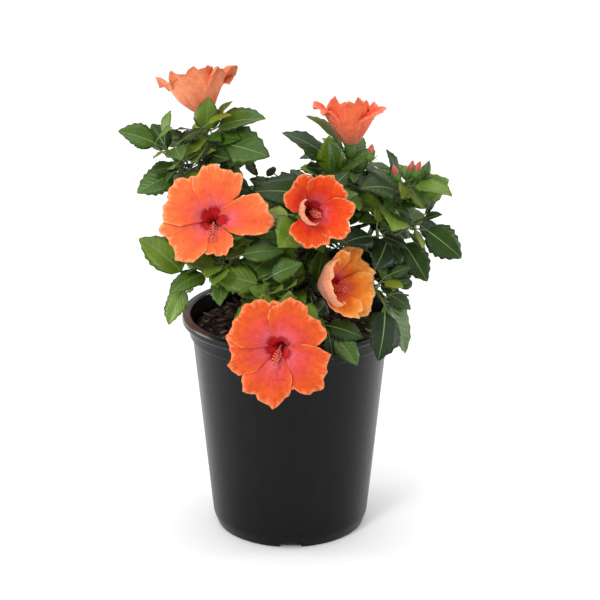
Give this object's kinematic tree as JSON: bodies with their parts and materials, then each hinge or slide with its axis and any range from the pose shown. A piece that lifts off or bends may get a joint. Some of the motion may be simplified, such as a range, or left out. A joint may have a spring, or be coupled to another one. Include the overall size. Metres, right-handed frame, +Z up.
{
  "type": "potted hibiscus shrub",
  "caption": "Young hibiscus shrub with open orange blooms, buds and glossy leaves, standing in a tapered black nursery pot filled with bark mix.",
  "frame": {"origin": "centre of the pot's flat underside", "axes": "+Z straight up, -Y towards the front of the plant, +X to the right seen from the front"},
  "size_m": [0.3401, 0.3132, 0.4885],
  "materials": {
    "pot": "satin moulded plastic",
    "potting_mix": "rough bark chips",
    "bark": "green-brown young bark",
    "foliage": "glossy leaves and soft petals"
  },
  "bodies": {
    "root": {"pot": "pot", "potting_mix": "potting_mix", "main_stem": "bark", "bough_upper_left": "bark", "spray_upper_left": "foliage", "bough_far_left": "bark", "spray_far_left": "foliage", "bough_upper_middle": "bark", "spray_upper_middle": "foliage", "bough_right": "bark", "spray_right": "foliage", "bough_outer_right": "bark", "spray_outer_right": "foliage", "bough_middle": "bark", "spray_middle": "foliage", "bough_left": "bark", "spray_left": "foliage", "bough_lower_left": "bark", "spray_lower_left": "foliage", "bough_front": "bark", "spray_front": "foliage", "bough_lower_right": "bark", "spray_lower_right": "foliage", "bough_right_side": "bark", "spray_right_side": "foliage", "bough_back_left": "bark", "spray_back_left": "foliage", "bough_back": "bark", "spray_back": "foliage", "bough_back_right": "bark", "spray_back_right": "foliage", "bough_low_back_left": "bark", "spray_low_back_left": "foliage", "bough_low_back_right": "bark", "spray_low_back_right": "foliage", "bough_crown": "bark", "spray_crown": "foliage"}
  },
  "joints": []
}
